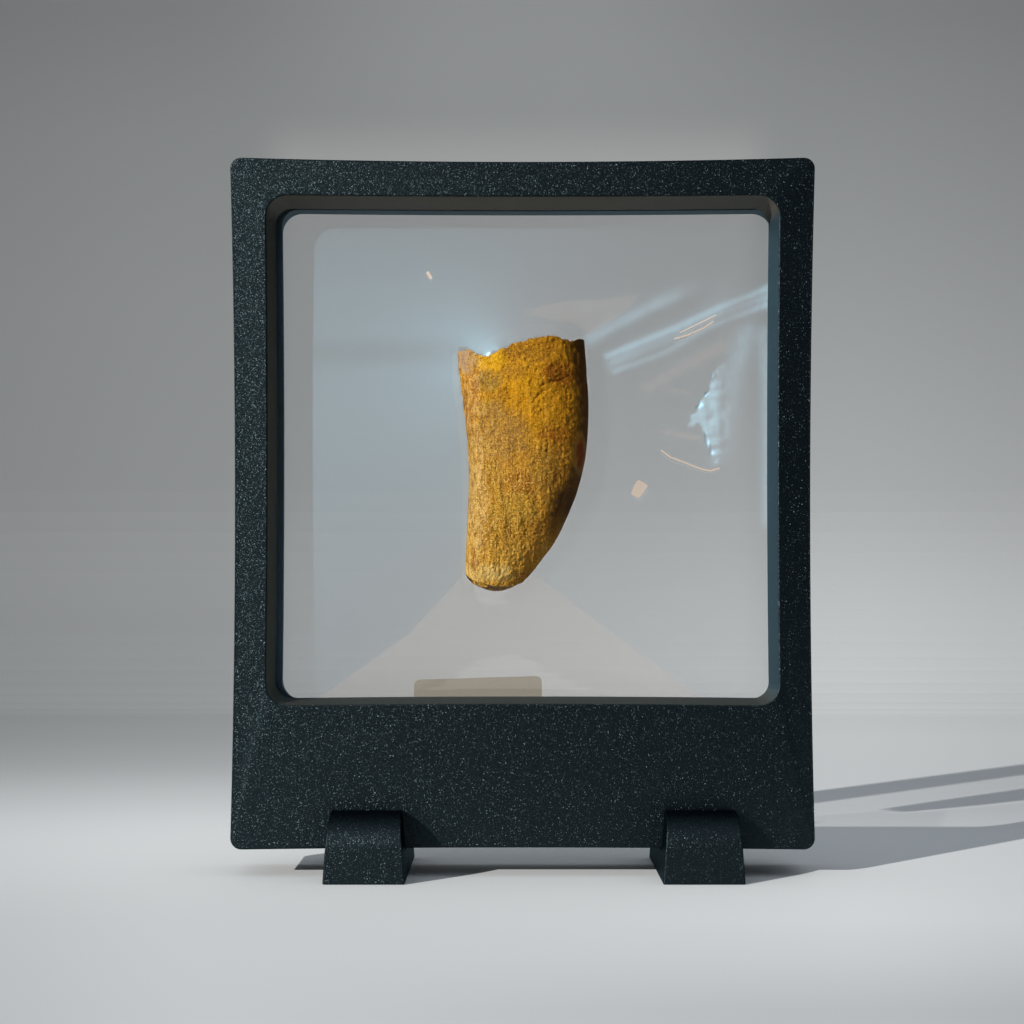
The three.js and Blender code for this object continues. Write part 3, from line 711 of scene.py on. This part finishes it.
def relaxedFilm(side, obstacle):
    # a taut sheet, flat at the rim and pushed out by the tooth: heights away from the middle plane
    f, m = filmForm, mouthForm
    halfWide = (m["right"] - m["left"]) / 2 - m["draft"] + f["border"]
    halfTall = (m["top"] - m["bottom"]) / 2 - m["draft"] + f["border"]
    middle = (m["top"] + m["bottom"]) / 2
    xs = np.linspace(-halfWide, halfWide, f["cells"] + 1)
    zs = np.linspace(middle - halfTall, middle + halfTall, f["cells"] + 1)
    gridX, gridZ = np.meshgrid(xs, zs, indexing="ij")
    rim = f["border"] + f["flat"]
    beyondX = np.maximum(np.abs(gridX) - (halfWide - rim - m["corner"]), 0)
    beyondZ = np.maximum(np.abs(gridZ - middle) - (halfTall - rim - m["corner"]), 0)
    free = np.hypot(beyondX, beyondZ) < m["corner"]
    floor = np.full(gridX.shape, f["rest"])
    over = np.zeros(gridX.shape, bool)
    for i, x in enumerate(xs):
        for j, z in enumerate(zs):
            if abs(x) < 18 and 60 < z < 124:
                hit = obstacle.ray_cast(Vector((x, side * 40, z)), Vector((0, -side, 0)))[0]
                if hit:
                    over[i, j] = True
                    floor[i, j] = max(floor[i, j], side * hit.y + f["gap"])
    for shift in ((1, 0), (-1, 0), (0, 1), (0, -1)):
        floor = np.maximum(floor, np.roll(floor, shift, (0, 1)))
    height = floor.copy()
    wide, tall = (xs[1] - xs[0]) ** 2, (zs[1] - zs[0]) ** 2
    parity = np.add.outer(np.arange(len(xs)), np.arange(len(zs))) % 2
    weight = 0.5 / (1 / wide + 1 / tall)
    for step in range(f["relaxSteps"]):
        for colour in (0, 1):
            around = np.zeros_like(height)
            around[1:-1] += (height[2:] + height[:-2]) / wide
            around[:, 1:-1] += (height[:, 2:] + height[:, :-2]) / tall
            moved = height + f["overRelax"] * (around * weight - height)
            change = free & (parity == colour)
            height = np.where(change, np.maximum(moved, floor), height)
    return gridX, gridZ, height, floor, over


def foldHeights(x, z):
    total = np.zeros_like(x)
    for f in folds:
        (ax, az), (bx, bz) = f["from"], f["to"]
        dx, dz = bx - ax, bz - az
        length = math.hypot(dx, dz)
        along = ((x - ax) * dx + (z - az) * dz) / length ** 2
        across = ((x - ax) * -dz + (z - az) * dx) / length
        ends = smoothStep(along, -0.12, 0.2) * (1 - smoothStep(along, 0.8, 1.1))
        total += f["height"] * ends * np.exp(-(across / f["width"]) ** 2)
    c = crumple
    away = lineDistance(x, z, [c["from"], c["to"]])
    patch = np.exp(-(away / c["width"]) ** 2)
    creases = np.abs(softNoise(x / c["size"][0], z / c["size"][1], 4 + 0 * x) - 0.5)
    return total + c["height"] * patch * creases


# Pale marks in the front film, along lines or over areas of places (x, z): how far its fine wrinkles lean to the key
# light there, or how strongly a painted reflection is laid on it: the pale triangle below the tooth, the lobe above it
# and thin warm glint lines
wideMarks = [
    {"line": [(15.2, 120.0), (22.7, 124.0), (29.9, 128.1), (37.2, 130.8), (46, 133.4)], "width": 1.9, "lean": 0.48,
     "fade": (24, 46)},
    {"line": [(19.1, 116.4), (35.4, 123.2), (43.7, 127.2), (55.7, 132.3)], "width": 1.1, "lean": 0.57},
    {"line": [(20.7, 113.1), (32.1, 117.5), (42.6, 123.6), (55.7, 128.8)], "width": 1.1, "lean": 0.57},
    {"line": [(20.6, 114.8), (34, 120.6), (43, 125.4), (55.7, 130.5)], "width": 2.3, "lean": 0.49},
    {"line": [(54, 122), (55.5, 110), (55.5, 80)], "width": 2.4, "lean": 0.42},
    {"line": [(51, 122), (47.8, 113), (46.6, 104), (45.2, 95)], "width": 3.4, "lean": 0.46},
    {"line": [(-47, 117.5), (-15, 117.5)], "width": 2.6, "lean": -0.08},
    {"area": [(45.5, 115.7), (43.1, 112.4), (41.5, 108.4), (40, 105.5), (37.5, 102.7), (37.3, 100.3), (40.8, 101.2),
              (41.3, 99.1), (42.6, 95.1), (43.7, 92.6), (45.6, 93.1), (45.8, 101.3), (46.5, 104.8), (48.7, 112),
              (48.3, 116)], "soft": 0.5, "ragged": 1.6, "lean": 0.66, "fade": (43.2, 49)},
    {"area": [(-47.5, 38.4), (-44.2, 40.7), (-26, 53.7), (-13.3, 67.2), (2.3, 67.9), (18.1, 55.9), (38.6, 40.7),
              (41.5, 38.3)], "soft": 0.45, "ragged": 0.0, "haze": 0.1},
    {"area": [(0.1, 126.1), (8.4, 128.8), (17.4, 129.4), (27, 130.8), (23.6, 127), (17.4, 122.7), (14.7, 120.9),
              (11.8, 123.8), (5, 124.7)], "soft": 0.45, "ragged": 0.0, "haze": 0.07},
    {"line": [(28.1, 109.5), (35.4, 113.8), (40.8, 116.7), (45.5, 119.3)], "width": 1.3, "haze": 0.07},
    {"line": [(32.1, 99.6), (40, 98.2)], "width": 0.6, "haze": 0.09},
    {"line": [(32.1, 108.8), (34.3, 109.2), (37.5, 108.1)], "width": 0.45, "haze": 0.07},
    {"line": [(43.1, 112.5), (43, 112.3)], "width": 0.3, "sparkle": 0.7},
    {"line": [(-7.9, 116.7), (-7.5, 116.5)], "width": 0.24, "sparkle": 1.0},
    {"line": [(41.6, 108.3), (41.5, 108.1)], "width": 0.36, "sparkle": 1.0},
    {"line": [(40.5, 105.8), (39.6, 105.1)], "width": 0.36, "sparkle": 1.0},
    {"line": [(41.4, 99.1), (41.7, 97.4), (42.8, 94.9)], "width": 0.3, "sparkle": 0.8},
    {"area": [(26.15, 88.8), (27.6, 88), (28.5, 87.3), (27.6, 86.2), (26.3, 84.4), (24.3, 85.3), (25.2, 87.5)],
     "soft": 1.0, "ragged": 0.0, "flake": 1.0},
]


def areaDepth(x, z, corners):
    # distance in mm to an area's border, above zero inside it
    inside = np.zeros(x.shape, bool)
    for (ax, az), (bx, bz) in zip(corners, corners[1:] + corners[:1]):
        inside ^= ((az > z) != (bz > z)) & (x < ax + (z - az) * (bx - ax) / (bz - az))
    away = lineDistance(x, z, corners + corners[:1])
    return np.where(inside, away, -away)


def markValues(x, z):
    # the strongest mark of each kind at each place
    values = {kind: np.zeros_like(x) for kind in ("lean", "haze", "sparkle", "flake")}
    for m in wideMarks:
        if "area" in m:
            depth = areaDepth(x, z, m["area"]) + m["ragged"] * (softNoise(x / 1.1, z / 1.1, 2 + 0 * x) - 0.5)
            share = smoothStep(depth, -m["soft"], m["soft"])
        else:
            share = 1 - smoothStep(lineDistance(x, z, m["line"]), 0, 1.9 * m["width"])
        if "fade" in m:
            share = share * (1 - 0.8 * smoothStep(x, *m["fade"]))
        for kind in values:
            value = share * m.get(kind, 0)
            values[kind] = np.where(np.abs(value) > np.abs(values[kind]), value, values[kind])
    return values


def buildFilm(side, name, node, obstacle, material):
    f = filmForm
    x, z, height, floor, over = relaxedFilm(side, obstacle)
    inside = smoothStep(height, f["rest"], f["rest"] + 0.6)
    if side < 0:
        height = np.maximum(height + foldHeights(x, z) * inside, floor)
    bm = bmesh.new()
    cells = f["cells"]
    bmesh.ops.create_grid(bm, x_segments=cells, y_segments=cells, size=1)
    values = {"free": np.where(over, 0.0, 1.0)}  # 0 over the tooth, where the film is drawn smooth
    if side < 0:
        values.update(markValues(x, z))
    layers = {kind: bm.verts.layers.float.new(kind) for kind in values}
    for v in bm.verts:
        i = round((v.co.x + 1) / 2 * cells)
        j = round((v.co.y + 1) / 2 * cells)
        v.co = (x[i, j], side * height[i, j], z[i, j])
        for kind, layer in layers.items():
            v[layer] = values[kind][i, j]
    bmesh.ops.recalc_face_normals(bm, faces=bm.faces)
    if bm.faces[0].normal.y * side < 0:
        bmesh.ops.reverse_faces(bm, faces=bm.faces)
    bmesh.ops.solidify(bm, geom=list(bm.faces), thickness=-f["thickness"])
    bmesh.ops.recalc_face_normals(bm, faces=bm.faces)
    return finishPiece(bm, name, [node], material, 60)


def plasticMaterial():
    g = Graph("spark_textured_plastic")
    x, y, height = g.axis("X"), g.axis("Y"), g.axis("Z")
    # the opening's walls are smooth, and everything else has the moulded grain
    aside = x.math("ABSOLUTE", x)
    inside = (1 - aside.step(57.0, 57.3)) * height.step(37.9, 38.2) * (1 - height.step(151.4, 151.7))
    inside = inside * (1 - y.math("ABSOLUTE", y).step(9.7, 9.95))
    grain = g.noise((3.3, 3.3, 3.3), 2, 0.6)
    base = g.mix(g.noise((0.05, 0.05, 0.05), 2).step(0.35, 0.65), linear(2, 4, 6), linear(3, 5, 8))
    # painted light: each wall of the opening gets its own tone for how light falls on it: the left wall warm grey, the
    # right wall bluish where the key light strikes it, the top wall lighter from light thrown up off the floor, the
    # bottom wall grey, and the back half's walls bluish for sky light
    walls = g.mix(x.step(50, 56), linear(60, 56, 44), linear(40, 54, 62))
    walls = g.mix(height.step(146, 150), walls, linear(86, 78, 67))
    walls = g.mix(1 - height.step(39, 43), walls, linear(56, 56, 52))
    walls = g.mix(y.step(0, 0.2) * 0.7, walls, linear(64, 84, 97))
    base = g.mix(inside, base, walls)
    relief = g.bump(grain * (1 - 0.8 * inside), 1.0, 0.04)
    # each small facet of the grain has its own tilt and glints when it faces halfway to the light
    tilts = g.add("ShaderNodeVectorMath", {"operation": "ADD"}, {
        0: g.cells((6.0, 6.0, 6.0), out="Color"), 1: g.cells((7.8, 7.8, 7.8), out="Color")})
    centred = g.add("ShaderNodeVectorMath", {"operation": "SUBTRACT"}, {0: tilts, 1: (1, 1, 1)})
    spread = g.add("ShaderNodeVectorMath", {"operation": "SCALE"}, {0: centred, 3: 0.5})
    tilted = g.add("ShaderNodeVectorMath", {"operation": "ADD"}, {0: relief, 1: spread})
    facets = g.add("ShaderNodeVectorMath", {"operation": "NORMALIZE"}, {0: tilted})
    body = g.add("ShaderNodeBsdfPrincipled", None, {
        "Base Color": base, "Roughness": 0.6, "Specular IOR Level": 0.0, "Normal": relief})
    sheen = g.add("ShaderNodeBsdfGlossy", {"distribution": "BECKMANN"}, {
        "Color": (0.56, 0.87, 1, 1), "Roughness": 0.54, "Normal": relief})
    glints = g.add("ShaderNodeBsdfGlossy", {"distribution": "BECKMANN"}, {
        "Color": (0.62, 0.88, 1, 1), "Roughness": 0.27, "Normal": facets})
    shine = g.add("ShaderNodeMixShader", None, {0: 0.5 * (1 - inside), 1: sheen, 2: glints})
    edge = 0.031 + 0.07 * g.grazing()
    return g.finish(g.add("ShaderNodeMixShader", None, {0: edge, 1: body, 2: shine}))


# Thin warm lines on the front film, painted glints of the key light, as lines of places (x, z) with a half width
glintLines = [
    {"line": [(35.7, 122.0), (39.3, 123.8), (43.8, 126.05)], "width": 0.13},
    {"line": [(34.4, 120.6), (37.2, 121.4), (41.1, 123.15), (43.2, 124.6)], "width": 0.17},
    {"line": [(31.4, 95.3), (33.5, 93.8), (40.8, 91.1), (42.6, 90.8), (44.6, 91.4)], "width": 0.15},
    {"line": [(-21.4, 135.6), (-20.7, 134.4)], "width": 0.3},
]


def filmMaterial(name, veil, marked):
    # clear, with a sharp gloss and a broad bluish sheen from fine wrinkles; the front one has its marks too, among
    # them painted reflections and painted glints
    g = Graph(name)
    ripple = g.bump(g.noise((0.05, 0.2, 0.22), 2), 0.15, 0.2)
    body = g.add("ShaderNodeBsdfTransparent", None, {"Color": (0.995, 0.995, 0.995, 1)})
    sharp = g.add("ShaderNodeBsdfGlossy", None, {"Color": (1, 1, 1, 1), "Roughness": 0.06, "Normal": ripple})
    free = g.attribute("free")
    wrinkles, share = ripple, veil * free
    if marked:
        lean = g.attribute("lean") * (0.7 + 0.6 * g.noise((1.6, 0.3, 0.5), 2, 0.6))
        tilt = g.add("ShaderNodeVectorMath", {"operation": "SCALE"}, {0: (-0.58, 0, 0.16), 3: lean})
        tilted = g.add("ShaderNodeVectorMath", {"operation": "ADD"}, {0: ripple, 1: tilt})
        wrinkles = g.add("ShaderNodeVectorMath", {"operation": "NORMALIZE"}, {0: tilted})
        share = share + 0.25 * g.attribute("sparkle")
        # painted reflections and glints: a pale warm shader laid over the clear film by the marks and lines, and by
        # the flake
        paintedLightAndFlake = g.attribute("haze") * free + 0.62 * g.attribute("flake").step(0.48, 0.58)
        # painted glints: thin warm lines laid on with the same pale shader
        for glint in glintLines:
            paintedLightAndFlake = paintedLightAndFlake + 0.85 * (1 - g.away(glint["line"]).step(0.5 * glint["width"], 1.8 * glint["width"]))
        tint = (1, 0.84, 0.71, 1)
        paleTranslucent = g.add("ShaderNodeBsdfTranslucent", None, {"Color": tint})
        dull = g.add("ShaderNodeBsdfDiffuse", None, {"Color": tint})
        haze = g.add("ShaderNodeMixShader", None, {0: 0.5, 1: paleTranslucent, 2: dull})
        body = g.add("ShaderNodeMixShader", None, {0: paintedLightAndFlake, 1: body, 2: haze})
    broad = g.add("ShaderNodeBsdfGlossy", {"distribution": "BECKMANN"},
                  {"Color": (0.38, 0.76, 1, 1), "Roughness": 0.49, "Normal": wrinkles})
    shone = g.add("ShaderNodeMixShader", None, {0: share, 1: body, 2: broad})
    edge = (0.042 + 0.9 * g.grazing()) * (0.05 + 0.95 * free)
    return g.finish(g.add("ShaderNodeMixShader", None, {0: edge, 1: shone, 2: sharp}))


def paperMaterial():
    g = Graph("label_paper")
    fibres = g.noise((0.9, 0.9, 4.5), 3, 0.6)
    colour = g.mix(fibres, linear(166, 155, 136), linear(183, 173, 153))
    relief = g.bump(fibres, 0.3, 0.05)
    inputs = {"Base Color": colour, "Roughness": 0.85, "Normal": relief}
    return g.finish(g.add("ShaderNodeBsdfPrincipled", None, inputs))


# The stage: a pale floor that turns up far behind into a backdrop, with shade and light painted on it
stageForm = {"front": -165, "back": 620, "wall": 1000, "halfWidth": 900, "bend": 120}
# Its tone, 0 to 255, against the way along the floor and up the wall in mm, at the left and at the right; the tones
# hold painted shade: the wall darker as if in shade, the left darker as if a shadow lay on it, and the floor darker
# towards its front edge
stageTones = {
    "left": [(-136, 218), (-61, 225), (-13, 233), (32, 236), (60, 234), (90, 228), (138, 213), (195, 195), (229, 184),
             (267, 176), (357, 165), (503, 157), (574, 140), (640, 133), (735, 138), (849, 136), (941, 130), (1015, 120)],
    "right": [(-136, 204), (-99, 222), (-61, 232), (-13, 233), (60, 228), (113, 216), (195, 213), (357, 214), (503, 207),
              (543, 192), (622, 178), (694, 168), (792, 156), (895, 142), (987, 129), (1015, 124)],
}


def buildStage():
    f = stageForm
    bm = bmesh.new()
    verts = [bm.verts.new((-f["halfWidth"], y, z)) for y, z in
             ((f["front"], 0), (f["back"], 0), (f["back"], f["wall"]))]
    edges = [bm.edges.new(pair) for pair in zip(verts, verts[1:])]
    bmesh.ops.bevel(bm, geom=[verts[1]], offset=f["bend"], offset_type="OFFSET", affect="VERTICES",
                    segments=16, profile=0.5, material=-1)
    moved = bmesh.ops.extrude_edge_only(bm, edges=list(bm.edges))["geom"]
    bmesh.ops.translate(bm, vec=(2 * f["halfWidth"], 0, 0), verts=[g for g in moved if isinstance(g, bmesh.types.BMVert)])
    bmesh.ops.recalc_face_normals(bm, faces=bm.faces)
    bmesh.ops.transform(bm, matrix=Matrix.Scale(mm, 4), verts=bm.verts)
    mesh = bpy.data.meshes.new("sweep")
    bm.to_mesh(mesh)
    bm.free()
    g = Graph("pale_sweep")
    x, y, z = g.axis("X"), g.axis("Y"), g.axis("Z")
    onward = (y + z + 150) * (1 / 1200)
    ramps = []
    for side in ("left", "right"):
        stops = [((way + 150) / 1200, linear(tone - 2, tone + 1, tone + 3)) for way, tone in stageTones[side]]
        ramps.append(g.add("ShaderNodeValToRGB", {"stops": stops}, {0: onward}))
    sideways = x.math("DIVIDE", x, y + 410)
    colour = g.mix(sideways.step(-0.2, 0.2), *ramps)
    aside = sideways.math("ABSOLUTE", sideways)
    # painted light: the middle of the wall, high up, is made paler
    colour = g.mix((1 - aside.step(0.02, 0.2)) * z.step(250, 400) * 0.2, colour, (0.5, 0.52, 0.53, 1))
    # painted light: the backdrop is brightest right behind the display
    behind = (1 - aside.step(0.12, 0.15)) * (y + z).step(500, 560) * (1 - z.step(300, 340))
    colour = g.mix(behind * 0.1, colour, (1, 1, 1, 1))
    # painted shade: darker towards both sides
    colour = g.mix(aside.step(0.17, 0.33) * 0.12, colour, (0, 0, 0, 1))
    mesh.materials.append(g.finish(g.add("ShaderNodeBsdfPrincipled", None, {
        "Base Color": colour, "Roughness": 0.8, "Specular IOR Level": 0.2})))
    sweep = bpy.data.objects.new("sweep", mesh)
    scene.collection.objects.link(sweep)


# Light: a low key from the left in front, and a room that is bright above and dark in front
lights = {
    "key": {"towards": (1.04, 1.0, -0.58), "strength": 3.9, "angle": 0.8, "colour": (1, 0.97, 0.92)},
    "room": {"above": (0.58, 0.625, 0.67, 1), "front": (0.018, 0.025, 0.035, 1)},
}


def makeLights():
    k = lights["key"]
    sun = bpy.data.lights.new("key", "SUN")
    sun.energy = k["strength"]
    sun.angle = math.radians(k["angle"])
    sun.color = k["colour"]
    key = bpy.data.objects.new("key", sun)
    key.rotation_euler = Vector(k["towards"]).to_track_quat("-Z", "Y").to_euler()
    scene.collection.objects.link(key)
    r = lights["room"]
    world = bpy.data.worlds.new("room")
    world.use_nodes = True
    g = Graph("room", world.node_tree)
    direction = g.add("ShaderNodeTexCoord", out="Generated")
    upward = g.add("ShaderNodeSeparateXYZ", None, {0: direction}, "Z")
    colour = g.mix(upward.step(0.22, 1), r["front"], r["above"])
    background = g.add("ShaderNodeBackground", None, {"Color": colour, "Strength": 1.0})
    g.add("ShaderNodeOutputWorld", None, {"Surface": background})
    scene.world = world


makeCamera()
makeLights()
buildStage()
print("stage and lights made")

tooth = buildTooth(fossilMaterial())
plastic = plasticMaterial()
buildFrameHalf(-1, "front_half", "front_frame", plastic)
buildFrameHalf(1, "back_half", "back_frame", plastic)
for node, centre in footForm["centres"].items():
    buildFoot(node, centre, plastic)
buildLabel(paperMaterial())
print("frame, feet and label made")

inMillimetres = bmesh.new()
inMillimetres.from_mesh(tooth.data)
bmesh.ops.transform(inMillimetres, matrix=Matrix.Scale(1 / mm, 4), verts=inMillimetres.verts)
obstacle = BVHTree.FromBMesh(inMillimetres)
buildFilm(-1, "front_sheet", "front_film", obstacle, filmMaterial("front_clear_film", 0.039, True))
buildFilm(1, "back_sheet", "back_film", obstacle, filmMaterial("back_clear_film", 0.012, False))
inMillimetres.free()
print("films made")
